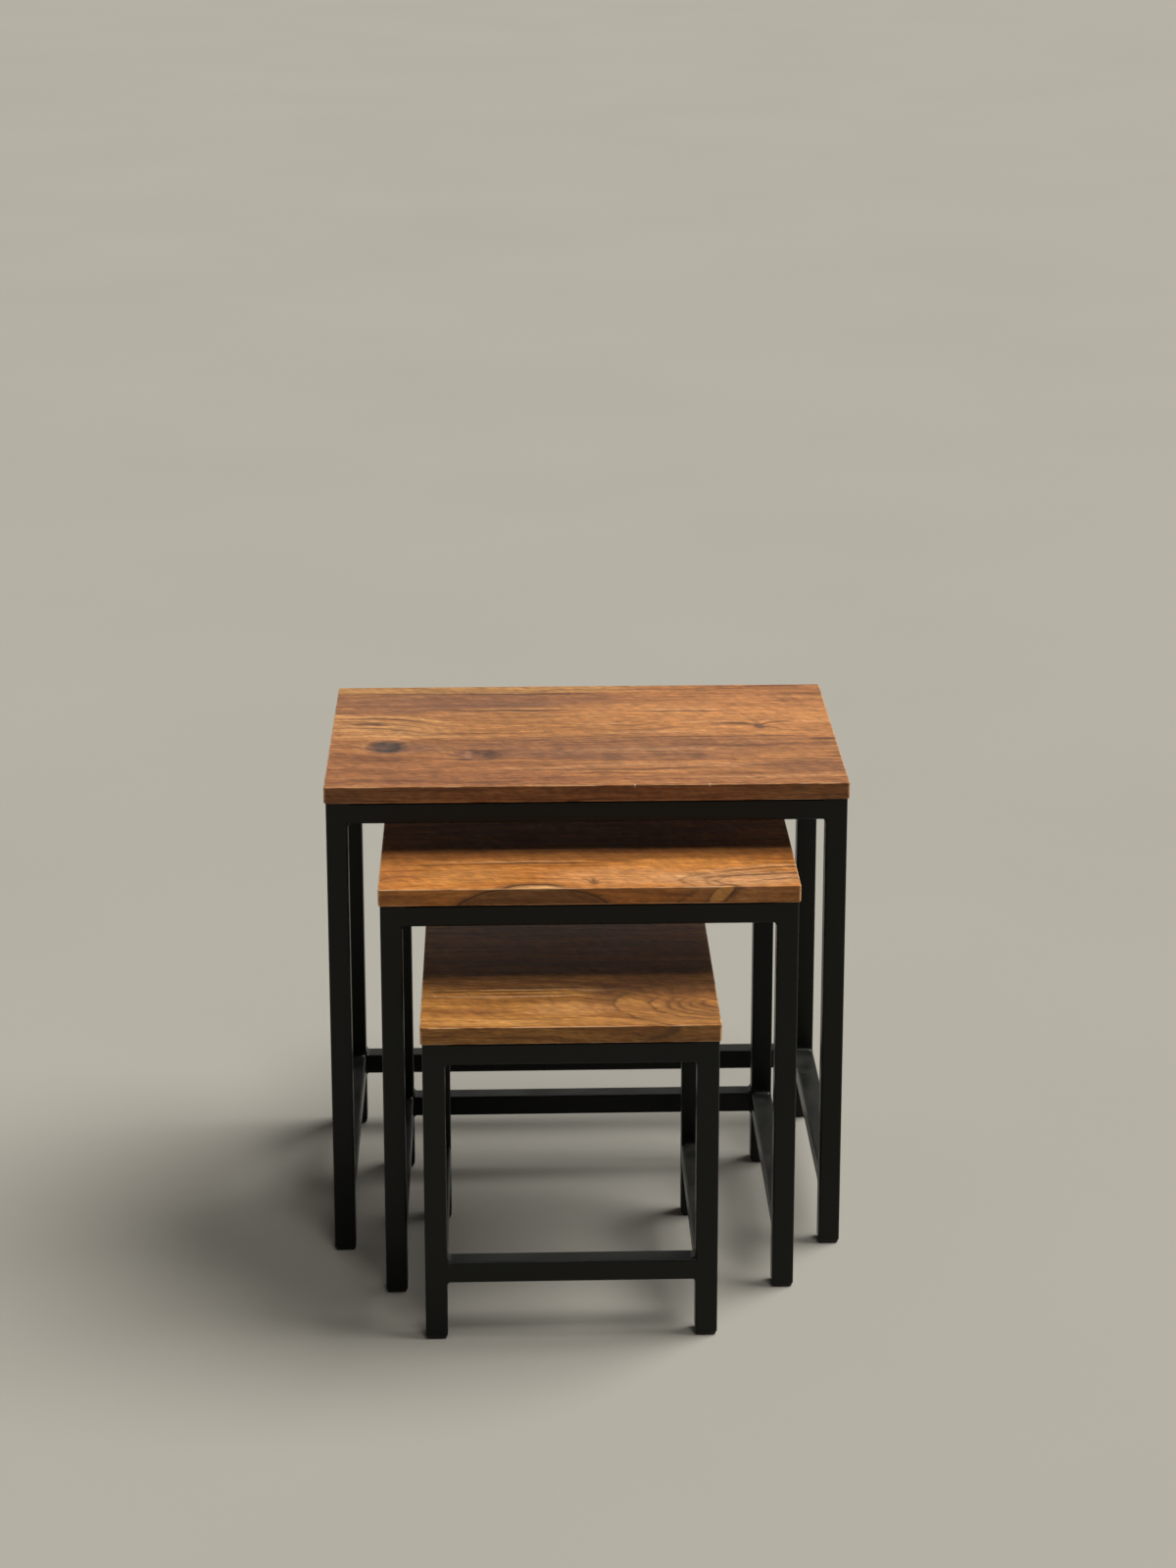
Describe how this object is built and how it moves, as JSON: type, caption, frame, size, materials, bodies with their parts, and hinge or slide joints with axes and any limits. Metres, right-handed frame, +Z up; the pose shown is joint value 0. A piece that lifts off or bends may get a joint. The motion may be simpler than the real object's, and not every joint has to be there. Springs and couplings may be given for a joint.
{
  "type": "nesting tables",
  "caption": "Nesting side tables with solid wood tops on black welded square-tube steel frames; each smaller table slides out from under the next larger one.",
  "frame": {"origin": "on the floor, under the centre of the bounding box of the whole nest as it stands with the medium and small tables part pulled out", "axes": "+Z up; -Y is the front, the way the smaller tables pull out; +X to the right as seen from the front"},
  "size_m": [0.61, 0.629, 0.585],
  "materials": {
    "large_wood": "clear-lacquered reddish brown rosewood-type hardwood with dark grain streaks and knots, satin",
    "medium_wood": "clear-lacquered orange brown rosewood-type hardwood with swirled grain, satin",
    "small_wood": "clear-lacquered golden brown rosewood-type hardwood with cathedral grain, satin",
    "frame_paint": "satin black powder coat over welded mild steel tube",
    "foot_plastic": "matte black moulded plastic",
    "screw_steel": "zinc-plated steel"
  },
  "bodies": {
    "large_table": {"large_top": "large_wood", "large_rail_front": "frame_paint", "large_leg_front_left": "frame_paint", "large_foot_front_left": "foot_plastic", "large_screw_front_left": "screw_steel", "large_leg_front_right": "frame_paint", "large_foot_front_right": "foot_plastic", "large_screw_front_right": "screw_steel", "large_rail_rear": "frame_paint", "large_leg_rear_left": "frame_paint", "large_foot_rear_left": "foot_plastic", "large_screw_rear_left": "screw_steel", "large_leg_rear_right": "frame_paint", "large_foot_rear_right": "foot_plastic", "large_screw_rear_right": "screw_steel", "large_rail_left": "frame_paint", "large_stretcher_left": "frame_paint", "large_rail_right": "frame_paint", "large_stretcher_right": "frame_paint", "large_stretcher_rear": "frame_paint"},
    "medium_table": {"medium_top": "medium_wood", "medium_rail_front": "frame_paint", "medium_leg_front_left": "frame_paint", "medium_foot_front_left": "foot_plastic", "medium_screw_front_left": "screw_steel", "medium_leg_front_right": "frame_paint", "medium_foot_front_right": "foot_plastic", "medium_screw_front_right": "screw_steel", "medium_rail_rear": "frame_paint", "medium_leg_rear_left": "frame_paint", "medium_foot_rear_left": "foot_plastic", "medium_screw_rear_left": "screw_steel", "medium_leg_rear_right": "frame_paint", "medium_foot_rear_right": "foot_plastic", "medium_screw_rear_right": "screw_steel", "medium_rail_left": "frame_paint", "medium_stretcher_left": "frame_paint", "medium_rail_right": "frame_paint", "medium_stretcher_right": "frame_paint", "medium_stretcher_rear": "frame_paint"},
    "small_table": {"small_top": "small_wood", "small_rail_front": "frame_paint", "small_leg_front_left": "frame_paint", "small_foot_front_left": "foot_plastic", "small_screw_front_left": "screw_steel", "small_leg_front_right": "frame_paint", "small_foot_front_right": "foot_plastic", "small_screw_front_right": "screw_steel", "small_rail_rear": "frame_paint", "small_leg_rear_left": "frame_paint", "small_foot_rear_left": "foot_plastic", "small_screw_rear_left": "screw_steel", "small_leg_rear_right": "frame_paint", "small_foot_rear_right": "foot_plastic", "small_screw_rear_right": "screw_steel", "small_rail_left": "frame_paint", "small_stretcher_left": "frame_paint", "small_rail_right": "frame_paint", "small_stretcher_right": "frame_paint", "small_stretcher_front": "frame_paint"}
  },
  "joints": [
    {"name": "medium_slide", "type": "slide", "parent": "large_table", "child": "medium_table", "axis": [0, -1, 0], "range_m": [-0.112, 0.3]},
    {"name": "small_slide", "type": "slide", "parent": "medium_table", "child": "small_table", "axis": [0, -1, 0], "range_m": [-0.126, 0.26]}
  ]
}
